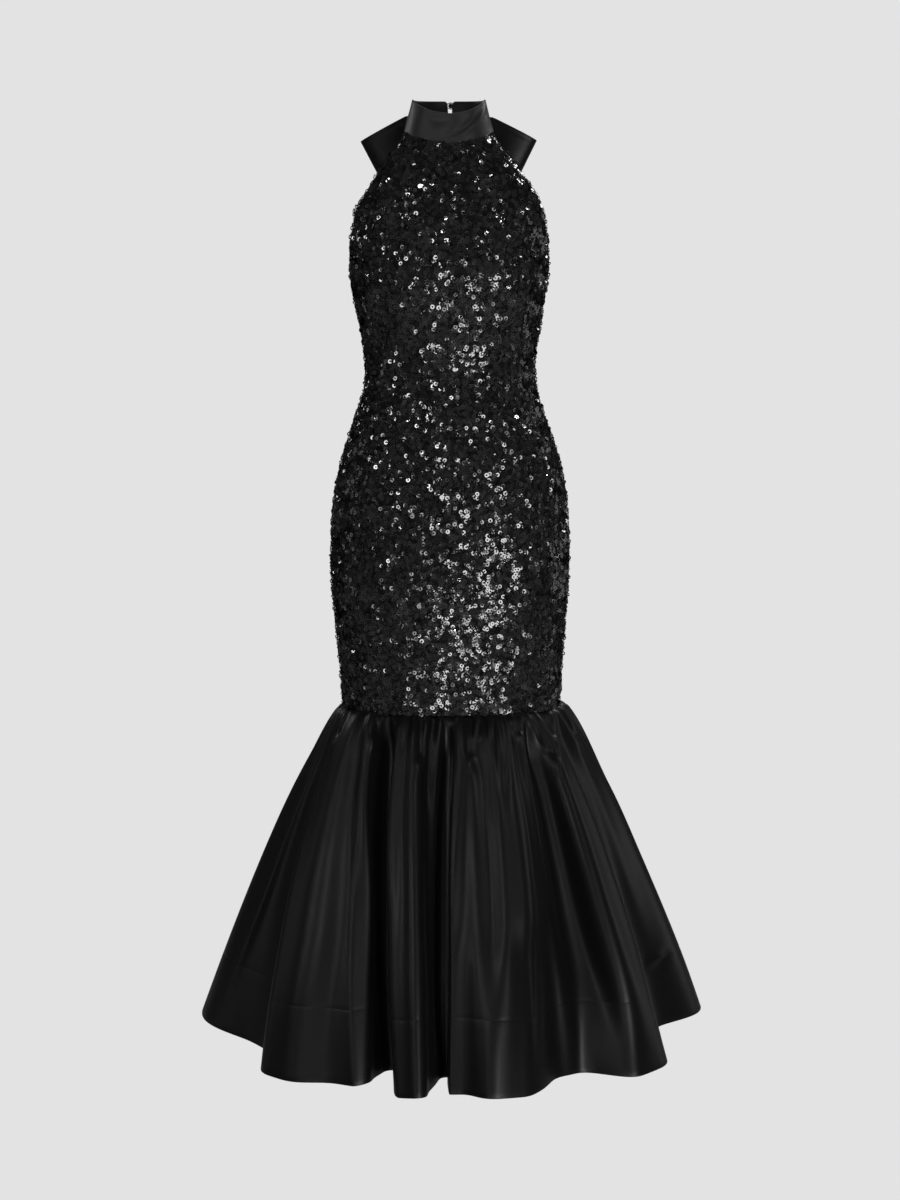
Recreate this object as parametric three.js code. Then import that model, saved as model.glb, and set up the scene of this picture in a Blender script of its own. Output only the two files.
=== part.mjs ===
// Mermaid midi dress: a sequinned halter sheath with a satin stand collar, a satin bow at the
// back of the neck and a gathered satin flounce. The dress is filled out and hollow, as worn.
// Millimetres, +Z up, the front faces -Y. The origin is the centre of the neck, level with the
// sides of the collar seam. Angles run round the body: 0 is the centre front, 90 is +X.
import * as THREE from "three";

const SEAM_GAP = 0.3;
const SEQUIN_CLOTH = 1.5;
const COLLAR_CLOTH = 2;
const SATIN_CLOTH = 1.6;
const FLOUNCE_CLOTH = 1.8;
const SECTION_POWER = 2.25;
const HALF_TURN = 180;
const SIDE = 90;

// Front of the sheath from the collar seam to the flounce seam. height is at the side edge and
// dip is how much lower the centre lies; left, right and front are the reach of the cloth;
// edge is how far forward of the side line the cloth stops, which opens the armhole.
const FRONT_ROWS = [
  { height: -5, dip: -23.4, left: 62.3, right: 59.7, front: 62.5, edge: 9 },
  { height: -35, dip: -17, left: 80, right: 79, front: 70, edge: 24 },
  { height: -65, dip: -12, left: 98.5, right: 98.5, front: 80, edge: 35 },
  { height: -90, dip: -8, left: 112, right: 114, front: 89, edge: 40 },
  { height: -111, dip: -5, left: 125, right: 123, front: 97, edge: 40 },
  { height: -130, dip: -2, left: 128.5, right: 127, front: 104, edge: 32 },
  { height: -150, dip: 0, left: 132.5, right: 130, front: 110, edge: 19 },
  { height: -161, dip: 0, left: 133.4, right: 131, front: 112.5, edge: 9 },
  { height: -168, dip: 0, left: 134, right: 131.5, front: 114, edge: 0 },
  { height: -190, dip: 0, left: 134.5, right: 132.2, front: 116.5, edge: 0 },
  { height: -210, dip: 0, left: 132.6, right: 130, front: 116.5, edge: 0 },
  { height: -234, dip: 0, left: 128.8, right: 126.1, front: 112, edge: 0 },
  { height: -268, dip: 0, left: 121.2, right: 121.6, front: 103, edge: 0 },
  { height: -300, dip: 0, left: 116, right: 116.2, front: 95, edge: 0 },
  { height: -329, dip: 0, left: 114.3, right: 114.7, front: 90, edge: 0 },
  { height: -357, dip: 0, left: 118, right: 118.6, front: 92, edge: 0 },
  { height: -388, dip: 0, left: 128, right: 128.4, front: 97, edge: 0 },
  { height: -424, dip: 0, left: 140.5, right: 141.6, front: 103, edge: 0 },
  { height: -462, dip: 0, left: 151, right: 152.4, front: 108, edge: 0 },
  { height: -502, dip: 0, left: 158.8, right: 159, front: 111.5, edge: 0 },
  { height: -567, dip: 0, left: 162.7, right: 162.9, front: 114, edge: 0 },
  { height: -615, dip: 0, left: 162.5, right: 162, front: 114, edge: 0 },
  { height: -650, dip: 0, left: 159.4, right: 160, front: 112.5, edge: 0 },
  { height: -730, dip: 0, left: 151.8, right: 154.3, front: 108, edge: 0 },
  { height: -788, dip: 0, left: 148, right: 151.2, front: 105.5, edge: 0 },
];
// Back of the sheath, with the same columns; its halter cut is narrower than the front's.
const BACK_ROWS = [
  { height: -5, dip: 6.6, left: 61.3, right: 58.7, front: 62.5, edge: 9 },
  { height: -35, dip: 2, left: 74, right: 73, front: 69, edge: 26 },
  { height: -65, dip: 0, left: 86, right: 86, front: 76, edge: 38 },
  { height: -90, dip: 0, left: 96, right: 96, front: 82, edge: 44 },
  { height: -111, dip: 0, left: 106, right: 105, front: 87, edge: 45 },
  { height: -130, dip: 0, left: 116, right: 114, front: 91, edge: 38 },
  { height: -150, dip: 0, left: 127, right: 125, front: 95, edge: 22 },
  { height: -161, dip: 0, left: 131.5, right: 129, front: 97, edge: 10 },
  { height: -168, dip: 0, left: 134, right: 131.5, front: 98, edge: 0 },
  { height: -190, dip: 0, left: 134.5, right: 132.2, front: 100, edge: 0 },
  { height: -210, dip: 0, left: 132.6, right: 130, front: 100, edge: 0 },
  { height: -234, dip: 0, left: 128.8, right: 126.1, front: 97, edge: 0 },
  { height: -268, dip: 0, left: 121.2, right: 121.6, front: 92, edge: 0 },
  { height: -300, dip: 0, left: 116, right: 116.2, front: 86, edge: 0 },
  { height: -329, dip: 0, left: 114.3, right: 114.7, front: 83, edge: 0 },
  { height: -357, dip: 0, left: 118, right: 118.6, front: 86, edge: 0 },
  { height: -388, dip: 0, left: 128, right: 128.4, front: 94, edge: 0 },
  { height: -424, dip: 0, left: 140.5, right: 141.6, front: 106, edge: 0 },
  { height: -462, dip: 0, left: 151, right: 152.4, front: 118, edge: 0 },
  { height: -502, dip: 0, left: 158.8, right: 159, front: 126, edge: 0 },
  { height: -567, dip: 0, left: 162.7, right: 162.9, front: 129, edge: 0 },
  { height: -615, dip: 0, left: 162.5, right: 162, front: 125, edge: 0 },
  { height: -650, dip: 0, left: 159.4, right: 160, front: 119, edge: 0 },
  { height: -730, dip: 0, left: 151.8, right: 154.3, front: 109, edge: 0 },
  { height: -788, dip: 0, left: 148, right: 151.2, front: 106, edge: 0 },
];
const UNDERARM_ROW = 8;
const FRONT_COLUMNS = 18;
const BACK_COLUMNS = 9;
const BUST = { height: -203, angle: 40, out: 8, tall: 55, wide: 24 };

const COLLAR = {
  baseLeft: 62.3, baseRight: 59.7, baseDepth: 62.5,
  topLeft: 50.8, topRight: 47.6, topDepth: 55,
  backTall: 40, baseHeight: -4.6, baseDipFront: -23.4, baseRiseBack: 6.6,
  topHeight: 36.5, topDipFront: -26, topRiseBack: 5.8,
  dipPower: 1.4, slitBase: 1.2, slitTop: 3, cornerRound: 6,
};
const COLLAR_BACK_TOP = COLLAR.topHeight + COLLAR.topRiseBack;
const COLLAR_COLUMNS = 36;
const COLLAR_ROWS = 2;

// The fastening at the top of the slit: a small covered button and a cord loop round it.
const BUTTON = { height: 36.2, side: 0.8, radius: 3.2, thick: 2.6 };
const LOOP = { cord: 0.6, end: -5.6, openAt: 135, turnSteps: 12, sides: 6 };

const BINDING = { wide: 3, thick: 2.3, gap: 0.65, endDrop: 1 };

// The bow: each loop is one folded band that leaves the knot, turns and comes back.
const BOW = {
  height: -2, knotDepth: 75, loopDepth: 88, start: 15, pinch: 13, spreadBy: 46,
  puff: 8, pinchGap: 2.6, knotWide: 12.6, knotTall: 15.5, knotThick: 10.2, knotSquare: 0.6,
  widthSteps: 4, turnSteps: 14,
};
const BOW_LOOPS = [
  { name: "bow_loop_left", side: -1, length: 115, halfWidth: 47.5, droop: 28 },
  { name: "bow_loop_right", side: 1, length: 112, halfWidth: 44.5, droop: 26.5 },
];

// The flounce: a ridge or a valley of the cloth on each row, in order round the body. seam and
// hem are its angles at the flounce seam and at the hem, reach is its distance from the axis
// at the hem and flat is the angle on each side over which it keeps that reach.
const FLOUNCE_TOP = -788.3;
const FLOUNCE_HEM = -1226;
const FLARE_POWER = 0.78;
const SWING_POWER = 0.6;
const FLOUNCE_LEVELS = [0, 0.03, 0.08, 0.16, 0.28, 0.42, 0.57, 0.72, 0.87, 1];
const FOLDS = [
  { seam: -96, hem: -92, reach: 351, flat: 6 },
  { seam: -79, hem: -56, reach: 300, flat: 3 },
  { seam: -67, hem: -39.5, reach: 356, flat: 3.2 },
  { seam: -53, hem: -23.5, reach: 331, flat: 2.2 },
  { seam: -43, hem: -16.4, reach: 262, flat: 0.8 },
  { seam: -24, hem: -8.8, reach: 353, flat: 2.2 },
  { seam: -2, hem: -1.2, reach: 276, flat: 0.3 },
  { seam: 8, hem: 1.3, reach: 336, flat: 1.6 },
  { seam: 30, hem: 12.5, reach: 356, flat: 4 },
  { seam: 48, hem: 30, reach: 308, flat: 3 },
  { seam: 60, hem: 46, reach: 365, flat: 4.5 },
  { seam: 72, hem: 68, reach: 294, flat: 4 },
  { seam: 96, hem: 97, reach: 358, flat: 7 },
  { seam: 112, hem: 117, reach: 300, flat: 3 },
  { seam: 126, hem: 133, reach: 356, flat: 5 },
  { seam: 142, hem: 150, reach: 276, flat: 2 },
  { seam: 158, hem: 161, reach: 350, flat: 3.5 },
  { seam: 172, hem: 173, reach: 290, flat: 2 },
  { seam: 187, hem: 186, reach: 352, flat: 4 },
  { seam: 203, hem: 203, reach: 268, flat: 1.5 },
  { seam: 220, hem: 219, reach: 355, flat: 6 },
  { seam: 240, hem: 242, reach: 304, flat: 3.5 },
  { seam: 264, hem: 268, reach: 351, flat: 6 },
];
const SIDE_SEAM_FOLD = 12;
const SHORT_SLOPE = 12;

const sequinCloth = () => new THREE.MeshStandardMaterial({ color: 0x141416, roughness: 0.35, metalness: 0.3 });
const satin = () => new THREE.MeshStandardMaterial({ color: 0x121213, roughness: 0.38, metalness: 0 });
const trim = () => new THREE.MeshStandardMaterial({ color: 0x1c1b1d, roughness: 0.5, metalness: 0 });

const mix = (from, to, part) => from + (to - from) * part;
const clamp = (value) => Math.min(1, Math.max(0, value));
const ease = (value) => clamp(value) ** 2 * (3 - 2 * clamp(value));
const steps = (count) => Array.from({ length: count + 1 }, (_, index) => index / count);

// A closed body from a grid of cloth points: pointAt gives the outer face, and the inner face
// lies one thickness behind it, level with it where level is true. us runs round the body and
// vs runs down it.
function clothBody(pointAt, us, vs, thickness, level = false) {
  const small = 1e-3;
  const outer = [];
  const inner = [];
  for (const v of vs) {
    for (const u of us) {
      const point = pointAt(u, v);
      const alongU = pointAt(Math.min(1, u + small), v).sub(pointAt(Math.max(0, u - small), v));
      const alongV = pointAt(u, Math.min(1, v + small)).sub(pointAt(u, Math.max(0, v - small)));
      const normal = alongV.cross(alongU);
      normal.z = level ? 0 : normal.z;
      normal.normalize();
      outer.push(point);
      inner.push(point.clone().addScaledVector(normal, -thickness));
    }
  }
  const width = us.length;
  const height = vs.length;
  const innerStart = outer.length;
  const faces = [];
  const quad = (a, b, c, d) => faces.push(a, b, c, a, c, d);
  for (let row = 0; row < height - 1; row += 1) {
    for (let column = 0; column < width - 1; column += 1) {
      const a = row * width + column;
      quad(a, a + width, a + width + 1, a + 1);
      quad(innerStart + a, innerStart + a + 1, innerStart + a + width + 1, innerStart + a + width);
    }
  }
  for (let column = 0; column < width - 1; column += 1) {
    const bottom = (height - 1) * width + column;
    quad(column, column + 1, innerStart + column + 1, innerStart + column);
    quad(bottom, innerStart + bottom, innerStart + bottom + 1, bottom + 1);
  }
  for (let row = 0; row < height - 1; row += 1) {
    const first = row * width;
    const last = first + width - 1;
    quad(first, innerStart + first, innerStart + first + width, first + width);
    quad(last, last + width, innerStart + last + width, innerStart + last);
  }
  return bodyFrom([...outer, ...inner], faces);
}

function bodyFrom(points, faces) {
  const geometry = new THREE.BufferGeometry();
  const numbers = points.flatMap((point) => [point.x, point.y, point.z]);
  geometry.setAttribute("position", new THREE.Float32BufferAttribute(numbers, 3));
  geometry.setIndex(faces);
  geometry.computeVertexNormals();
  return geometry;
}

// Reach of a rounded section at an angle, from its reach at the side and at the centre.
function sectionReach(degrees, side, centre) {
  const angle = THREE.MathUtils.degToRad(degrees);
  const across = Math.abs(Math.sin(angle) / side) ** SECTION_POWER;
  const along = Math.abs(Math.cos(angle) / centre) ** SECTION_POWER;
  return (across + along) ** (-1 / SECTION_POWER);
}

function rowAt(rows, place) {
  const index = Math.min(rows.length - 2, Math.floor(place * (rows.length - 1)));
  const part = place * (rows.length - 1) - index;
  const row = {};
  for (const name of Object.keys(rows[0])) {
    row[name] = mix(rows[index][name], rows[index + 1][name], part);
  }
  return row;
}

// A point of the sheath: facing is -1 on the front and 1 on the back, degrees runs from the
// centre of that face, and place runs down its rows.
function sheathPoint(rows, facing, degrees, place) {
  const row = rowAt(rows, place);
  const angle = THREE.MathUtils.degToRad(degrees);
  const side = degrees < 0 ? row.left : row.right;
  const reach = sectionReach(degrees, side, row.front - row.edge);
  const share = (row.edge + reach * Math.max(0, Math.cos(angle))) / row.front;
  const height = row.height + row.dip * share ** COLLAR.dipPower;
  const overBust = Math.exp(-(((height - BUST.height) / BUST.tall) ** 2));
  const onCup = Math.exp(-(((Math.abs(degrees) - BUST.angle) / BUST.wide) ** 2));
  const bust = facing < 0 ? BUST.out * overBust * onCup : 0;
  const depth = row.edge + (reach + bust) * Math.cos(angle) + SEAM_GAP / 2;
  return new THREE.Vector3((reach + bust) * Math.sin(angle), facing * depth, height);
}

function frontPanel() {
  const point = (u, v) => sheathPoint(FRONT_ROWS, -1, mix(-SIDE, SIDE, u), v);
  return clothBody(point, steps(FRONT_COLUMNS), steps(FRONT_ROWS.length - 1), SEQUIN_CLOTH);
}

// The two backs meet at the centre back, each half a seam gap away from it.
function backPanel(side) {
  const point = (u, v) => {
    const degrees = side < 0 ? mix(0, -SIDE, u) : mix(SIDE, 0, u);
    const spot = sheathPoint(BACK_ROWS, 1, degrees, v);
    spot.x += (side * SEAM_GAP / 2) * (1 - Math.abs(degrees) / SIDE);
    return spot;
  };
  return clothBody(point, steps(BACK_COLUMNS), steps(BACK_ROWS.length - 1), SEQUIN_CLOTH);
}

// A point of the collar: u runs from the slit at the centre back, by the left side and the
// front, to the slit again, and v runs down from the top edge to the seam.
function collarPoint(u, v) {
  const up = 1 - v;
  const turn = mix(-HALF_TURN, HALF_TURN, u);
  const depth = mix(COLLAR.baseDepth, COLLAR.topDepth, up);
  const slit = THREE.MathUtils.radToDeg(Math.asin(mix(COLLAR.slitBase, COLLAR.slitTop, up) / depth));
  const degrees = turn * (1 - slit / HALF_TURN);
  const angle = THREE.MathUtils.degToRad(degrees);
  const left = mix(COLLAR.baseLeft, COLLAR.topLeft, up);
  const right = mix(COLLAR.baseRight, COLLAR.topRight, up);
  const forward = Math.max(0, Math.cos(angle)) ** COLLAR.dipPower;
  const backward = Math.max(0, -Math.cos(angle)) ** COLLAR.dipPower;
  const base = COLLAR.baseHeight + COLLAR.baseDipFront * forward + COLLAR.baseRiseBack * backward;
  const toSlit = depth * THREE.MathUtils.degToRad(HALF_TURN - slit - Math.abs(degrees));
  const inRound = Math.max(0, COLLAR.cornerRound - toSlit);
  const rounded = COLLAR.cornerRound - Math.sqrt(COLLAR.cornerRound ** 2 - Math.min(inRound, COLLAR.cornerRound) ** 2);
  const top = COLLAR.topHeight + COLLAR.topDipFront * forward + COLLAR.topRiseBack * backward - rounded;
  return new THREE.Vector3(
    (degrees < 0 ? left : right) * Math.sin(angle),
    -depth * Math.cos(angle),
    mix(base, top, up),
  );
}

function collar() {
  const us = steps(COLLAR_COLUMNS);
  const ends = [0.002, 0.006, 0.012];
  const columns = [0, ...ends, ...us.slice(1, -1), ...ends.map((end) => 1 - end).reverse(), 1];
  return clothBody(collarPoint, columns, steps(COLLAR_ROWS), COLLAR_CLOTH, true);
}

// Sweeps a section, given as [along first axis, along second axis] pairs, through stations
// that each hold a centre and two unit axes (first cross second is the way of travel), and
// closes both ends.
function sweep(section, stations) {
  const points = [];
  const faces = [];
  const around = section.length;
  for (const { centre, first, second } of stations) {
    for (const [alongFirst, alongSecond] of section) {
      points.push(centre.clone().addScaledVector(first, alongFirst).addScaledVector(second, alongSecond));
    }
  }
  for (let ring = 0; ring < stations.length - 1; ring += 1) {
    for (let corner = 0; corner < around; corner += 1) {
      const a = ring * around + corner;
      const b = ring * around + (corner + 1) % around;
      faces.push(a, b, b + around, a, b + around, a + around);
    }
  }
  const last = (stations.length - 1) * around;
  for (let corner = 1; corner < around - 1; corner += 1) {
    faces.push(0, corner + 1, corner);
    faces.push(last, last + corner, last + corner + 1);
  }
  return bodyFrom(points, faces);
}

// The armhole binding lies along the cut edge of the front, turns at the underarm and goes up
// the cut edge of the back, one seam gap off the cloth.
function armholeBinding(side) {
  const edgeOf = (rows, facing, row) => sheathPoint(rows, facing, side * SIDE, row / (rows.length - 1));
  const edges = [];
  for (let row = 0; row < UNDERARM_ROW; row += 1) {
    edges.push(edgeOf(FRONT_ROWS, -1, row));
  }
  edges.push(edgeOf(FRONT_ROWS, -1, UNDERARM_ROW).setY(0));
  for (let row = UNDERARM_ROW - 1; row >= 0; row -= 1) {
    edges.push(edgeOf(BACK_ROWS, 1, row));
  }
  edges[0].z -= BINDING.endDrop;
  edges.at(-1).z -= BINDING.endDrop;
  const outward = new THREE.Vector3(side, 0, 0);
  const intoHole = (from, to) => outward.clone().cross(to.clone().sub(from)).normalize();
  const stations = edges.map((edge, index) => {
    const before = intoHole(edges[Math.max(0, index - 1)], edges[Math.max(1, index)]);
    const after = intoHole(edges[Math.min(edges.length - 2, index)], edges[Math.min(edges.length - 1, index + 1)]);
    const across = before.clone().add(after).normalize();
    const mitre = 1 / across.dot(before);
    const along = across.clone().cross(outward).normalize();
    const face = along.clone().cross(across).normalize();
    const centre = edge.clone();
    centre.addScaledVector(across, side * mitre * (BINDING.gap + BINDING.wide / 2));
    centre.addScaledVector(face, -SEQUIN_CLOTH / 2);
    return { centre, first: across.multiplyScalar(mitre), second: face };
  });
  const halfWide = BINDING.wide / 2;
  const halfThick = BINDING.thick / 2;
  const section = [
    [-halfWide, -halfThick],
    [halfWide, -halfThick],
    [halfWide, halfThick],
    [-halfWide, halfThick],
  ];
  return sweep(section, stations);
}

// One bow loop: v runs round the folded band, from the knot out along the near layer and back
// along the far one; u runs across the band.
function bowLoop({ side, length, halfWidth, droop }) {
  const slope = THREE.MathUtils.degToRad(droop);
  const point = (u, v) => {
    const turn = mix(-1, 1, v);
    const out = mix(BOW.start, length, Math.cos(turn * Math.PI / 2));
    const opened = ease((out - BOW.start) / (BOW.spreadBy - BOW.start));
    const spread = mix(BOW.pinch, halfWidth, opened);
    const lean = slope * opened;
    const across = mix(-1, 1, u) * spread;
    const apart = BOW.pinchGap * turn + BOW.puff * Math.sin(turn * Math.PI);
    const depth = mix(BOW.knotDepth, BOW.loopDepth, opened);
    return new THREE.Vector3(
      side * (out * Math.cos(slope) + across * Math.sin(lean)),
      depth + apart,
      BOW.height - (out - BOW.start) * Math.sin(slope) + across * Math.cos(lean),
    );
  };
  const mirrored = (u, v) => point(side < 0 ? u : 1 - u, v);
  return clothBody(mirrored, steps(BOW.widthSteps), steps(BOW.turnSteps), SATIN_CLOTH);
}

// The knot is a rounded wrap: a sphere drawn out towards a box.
function bowKnot() {
  const shape = new THREE.SphereGeometry(1, 14, 10);
  const position = shape.getAttribute("position");
  const square = (value) => Math.sign(value) * Math.abs(value) ** BOW.knotSquare;
  for (let index = 0; index < position.count; index += 1) {
    position.setXYZ(
      index,
      square(position.getX(index)) * BOW.knotWide,
      square(position.getY(index)) * BOW.knotThick + BOW.knotDepth,
      square(position.getZ(index)) * BOW.knotTall + BOW.height,
    );
  }
  shape.computeVertexNormals();
  return shape;
}

// The flounce surface: fold counts the rows of the fold table, with fractions between them,
// and down runs from the flounce seam to the hem.
function flouncePoint(fold, down) {
  const index = Math.min(FOLDS.length - 2, Math.floor(fold));
  const here = FOLDS[index];
  const next = FOLDS[index + 1];
  const part = fold - index;
  const width = next.hem - here.hem;
  const rise = (part - here.flat / width) / (1 - (here.flat + next.flat) / width);
  const reach = mix(here.reach, next.reach, ease(rise));
  const seamAngle = mix(here.seam, next.seam, part);
  const hemAngle = mix(here.hem, next.hem, part);
  const front = Math.cos(THREE.MathUtils.degToRad(seamAngle)) > 0;
  const left = Math.sin(THREE.MathUtils.degToRad(seamAngle)) < 0;
  const seamRow = (front ? FRONT_ROWS : BACK_ROWS).at(-1);
  const seamReach = sectionReach(seamAngle, left ? seamRow.left : seamRow.right, seamRow.front);
  const angle = THREE.MathUtils.degToRad(mix(seamAngle, hemAngle, down ** SWING_POWER));
  const distance = mix(seamReach, reach, down ** FLARE_POWER);
  return new THREE.Vector3(
    distance * Math.sin(angle),
    -distance * Math.cos(angle),
    mix(FLOUNCE_TOP, FLOUNCE_HEM, down),
  );
}

// The columns of a stretch of the fold table: each ridge and valley, the two ends of its flat
// and two more points on every slope, or one on a short slope.
function foldColumns(first, last) {
  const columns = [];
  for (let index = first; index < last; index += 1) {
    const width = FOLDS[index + 1].hem - FOLDS[index].hem;
    const from = FOLDS[index].flat / width;
    const to = 1 - FOLDS[index + 1].flat / width;
    const onSlope = width > SHORT_SLOPE ? [0.35, 0.65] : [0.5];
    columns.push(index, index + from, ...onSlope.map((part) => index + mix(from, to, part)), index + to);
  }
  columns.push(last);
  return columns;
}

// Half a seam gap is left at both side seams; facing is -1 on the front and 1 on the back.
function flouncePanel(first, last, facing) {
  const span = last - first;
  const gap = new THREE.Vector3(0, facing * SEAM_GAP / 2, 0);
  const point = (u, v) => flouncePoint(mix(first, last, u), v).add(gap);
  const columns = foldColumns(first, last).map((fold) => (fold - first) / span);
  return clothBody(point, columns, FLOUNCE_LEVELS, FLOUNCE_CLOTH);
}

function collarButton() {
  const half = BUTTON.thick / 2;
  const profile = [
    new THREE.Vector2(0, -half),
    new THREE.Vector2(BUTTON.radius * 0.8, -half),
    new THREE.Vector2(BUTTON.radius, 0),
    new THREE.Vector2(BUTTON.radius * 0.7, half * 0.8),
    new THREE.Vector2(0, half),
  ];
  return new THREE.LatheGeometry(profile, 16);
}

// The loop lies in a plane square to Y: in from one end of the collar, round the button, back.
function collarLoop() {
  const reach = BUTTON.radius + LOOP.cord + SEAM_GAP;
  const path = [];
  for (let index = 0; index <= LOOP.turnSteps; index += 1) {
    const turn = THREE.MathUtils.degToRad(mix(-LOOP.openAt, LOOP.openAt, index / LOOP.turnSteps));
    path.push(new THREE.Vector3(Math.cos(turn) * reach, 0, Math.sin(turn) * reach));
  }
  path.unshift(new THREE.Vector3(LOOP.end - BUTTON.side, 0, path[0].z));
  path.push(new THREE.Vector3(LOOP.end - BUTTON.side, 0, path.at(-1).z));
  const outward = new THREE.Vector3(0, 1, 0);
  const stations = path.map((centre, index) => {
    const ahead = path[Math.min(path.length - 1, index + 1)];
    const behind = path[Math.max(0, index - 1)];
    const along = ahead.clone().sub(behind).normalize();
    return { centre, first: outward.clone(), second: along.clone().cross(outward).normalize() };
  });
  const section = Array.from({ length: LOOP.sides }, (_, side) => {
    const turn = side / LOOP.sides * Math.PI * 2;
    return [Math.cos(turn) * LOOP.cord, Math.sin(turn) * LOOP.cord];
  });
  return sweep(section, stations);
}

const dress = new THREE.Group();

function add(name, geometry, material) {
  const mesh = new THREE.Mesh(geometry, material);
  mesh.name = name;
  dress.add(mesh);
  return mesh;
}

add("collar", collar(), satin());
add("front_panel", frontPanel(), sequinCloth());
add("back_panel_left", backPanel(-1), sequinCloth());
add("back_panel_right", backPanel(1), sequinCloth());
add("armhole_binding_left", armholeBinding(-1), trim());
add("armhole_binding_right", armholeBinding(1), trim());
for (const loop of BOW_LOOPS) {
  add(loop.name, bowLoop(loop), satin());
}
add("bow_knot", bowKnot(), satin());
const collarLean = Math.atan2(COLLAR.baseDepth - COLLAR.topDepth, COLLAR.backTall);
const collarBack = mix(COLLAR.topDepth, COLLAR.baseDepth, (COLLAR_BACK_TOP - BUTTON.height) / COLLAR.backTall);
const offCollar = (mesh, distance) => {
  mesh.rotation.x = collarLean;
  const outward = new THREE.Vector3(0, 1, 0).applyEuler(mesh.rotation);
  mesh.position.set(BUTTON.side, collarBack, BUTTON.height).addScaledVector(outward, distance);
};
offCollar(add("collar_button", collarButton(), trim()), SEAM_GAP + BUTTON.thick / 2);
offCollar(add("collar_loop", collarLoop(), trim()), SEAM_GAP + LOOP.cord);
add("flounce_front", flouncePanel(0, SIDE_SEAM_FOLD, -1), satin());
add("flounce_back", flouncePanel(SIDE_SEAM_FOLD, FOLDS.length - 1, 1), satin());

export default dress;
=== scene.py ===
"""Mermaid midi dress: the looks of every piece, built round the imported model.

Sizes are in millimetres, as a dressmaker gives them, and MM turns them into Blender's metres.
Angles run round the body in degrees: 0 is the centre front (-Y), 90 is +X.
"""
import math

import bmesh
import bpy
import numpy as np
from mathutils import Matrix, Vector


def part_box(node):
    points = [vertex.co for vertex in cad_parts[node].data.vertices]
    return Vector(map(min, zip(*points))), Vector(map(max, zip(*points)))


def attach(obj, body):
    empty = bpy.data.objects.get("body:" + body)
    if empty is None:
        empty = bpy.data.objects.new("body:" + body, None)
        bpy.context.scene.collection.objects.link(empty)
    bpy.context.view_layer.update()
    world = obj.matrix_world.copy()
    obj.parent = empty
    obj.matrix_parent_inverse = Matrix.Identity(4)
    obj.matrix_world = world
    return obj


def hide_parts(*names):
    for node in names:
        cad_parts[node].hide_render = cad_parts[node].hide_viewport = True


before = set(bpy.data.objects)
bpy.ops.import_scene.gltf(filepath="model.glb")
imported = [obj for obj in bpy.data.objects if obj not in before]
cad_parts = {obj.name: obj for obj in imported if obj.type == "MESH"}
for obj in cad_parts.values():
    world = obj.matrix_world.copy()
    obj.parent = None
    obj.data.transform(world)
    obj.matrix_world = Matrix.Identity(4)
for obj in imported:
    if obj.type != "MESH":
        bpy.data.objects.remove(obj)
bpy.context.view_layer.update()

MM = 0.001
FRONT, BACK = -1, 1
LEFT, RIGHT = -1, 1


# ------------ the dress's sizes

# The sheath's sections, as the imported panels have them. height is at the side edge, dip is how
# much lower the centre lies, left, right and depth are the cloth's reach, and edge is how far
# from the side line the cloth stops beside the armhole.
SHEATH_COLUMNS = ("height", "dip", "left", "right", "depth", "edge")
HALTER_FRONT = (
    (-5, -23.4, 62.3, 59.7, 62.5, 9),
    (-35, -17, 80, 79, 70, 24),
    (-65, -12, 98.5, 98.5, 80, 35),
    (-90, -8, 112, 114, 89, 40),
    (-111, -5, 125, 123, 97, 40),
    (-130, -2, 128.5, 127, 104, 32),
    (-150, 0, 132.5, 130, 110, 19),
    (-161, 0, 133.4, 131, 112.5, 9),
)
HALTER_BACK = (
    (-5, 6.6, 61.3, 58.7, 62.5, 9),
    (-35, 2, 74, 73, 69, 26),
    (-65, 0, 86, 86, 76, 38),
    (-90, 0, 96, 96, 82, 44),
    (-111, 0, 106, 105, 87, 45),
    (-130, 0, 116, 114, 91, 38),
    (-150, 0, 127, 125, 95, 22),
    (-161, 0, 131.5, 129, 97, 10),
)
# Below the underarm both faces share a height and a width: height, left, right, front, back.
BODY = (
    (-168, 134, 131.5, 114, 98),
    (-190, 134.5, 132.2, 116.5, 100),
    (-210, 132.6, 130, 116.5, 100),
    (-234, 128.8, 126.1, 112, 97),
    (-268, 121.2, 121.6, 103, 92),
    (-300, 116, 116.2, 95, 86),
    (-329, 114.3, 114.7, 90, 83),
    (-357, 118, 118.6, 92, 86),
    (-388, 128, 128.4, 97, 94),
    (-424, 140.5, 141.6, 103, 106),
    (-462, 151, 152.4, 108, 118),
    (-502, 158.8, 159, 111.5, 126),
    (-567, 162.7, 162.9, 114, 129),
    (-615, 162.5, 162, 114, 125),
    (-650, 159.4, 160, 112.5, 119),
    (-730, 151.8, 154.3, 108, 109),
    (-788, 148, 151.2, 105.5, 106),
)
UNDERARM_ROW = len(HALTER_FRONT)
SECTION_POWER = 2.25
DIP_POWER = 1.4
BUST = {"height": -203, "angle": 40, "out": 8, "tall": 55, "wide": 24}
SEAM_LAP = 0.25
SHEATH_CLOTH = {"sunk": 0.4, "cloth": 1.1, "rows": 100, "long": 790}
BINDING = {"points": 60, "inset": 2.1, "sunk": 0.7, "across": 1.5, "out": 1.3}

COLLAR = {
    "base_left": 62.3, "base_right": 59.7, "base_depth": 62.5,
    "top_left": 50.8, "top_right": 47.6, "top_depth": 55,
    "base_height": -6.2, "base_dip": -23.4, "base_rise": 6.6,
    "top_height": 36.5, "top_dip": -26, "top_rise": 5.8,
    "slit_base": 1.2, "slit_top": 3, "corner": 6, "cloth": 2,
}
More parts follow.
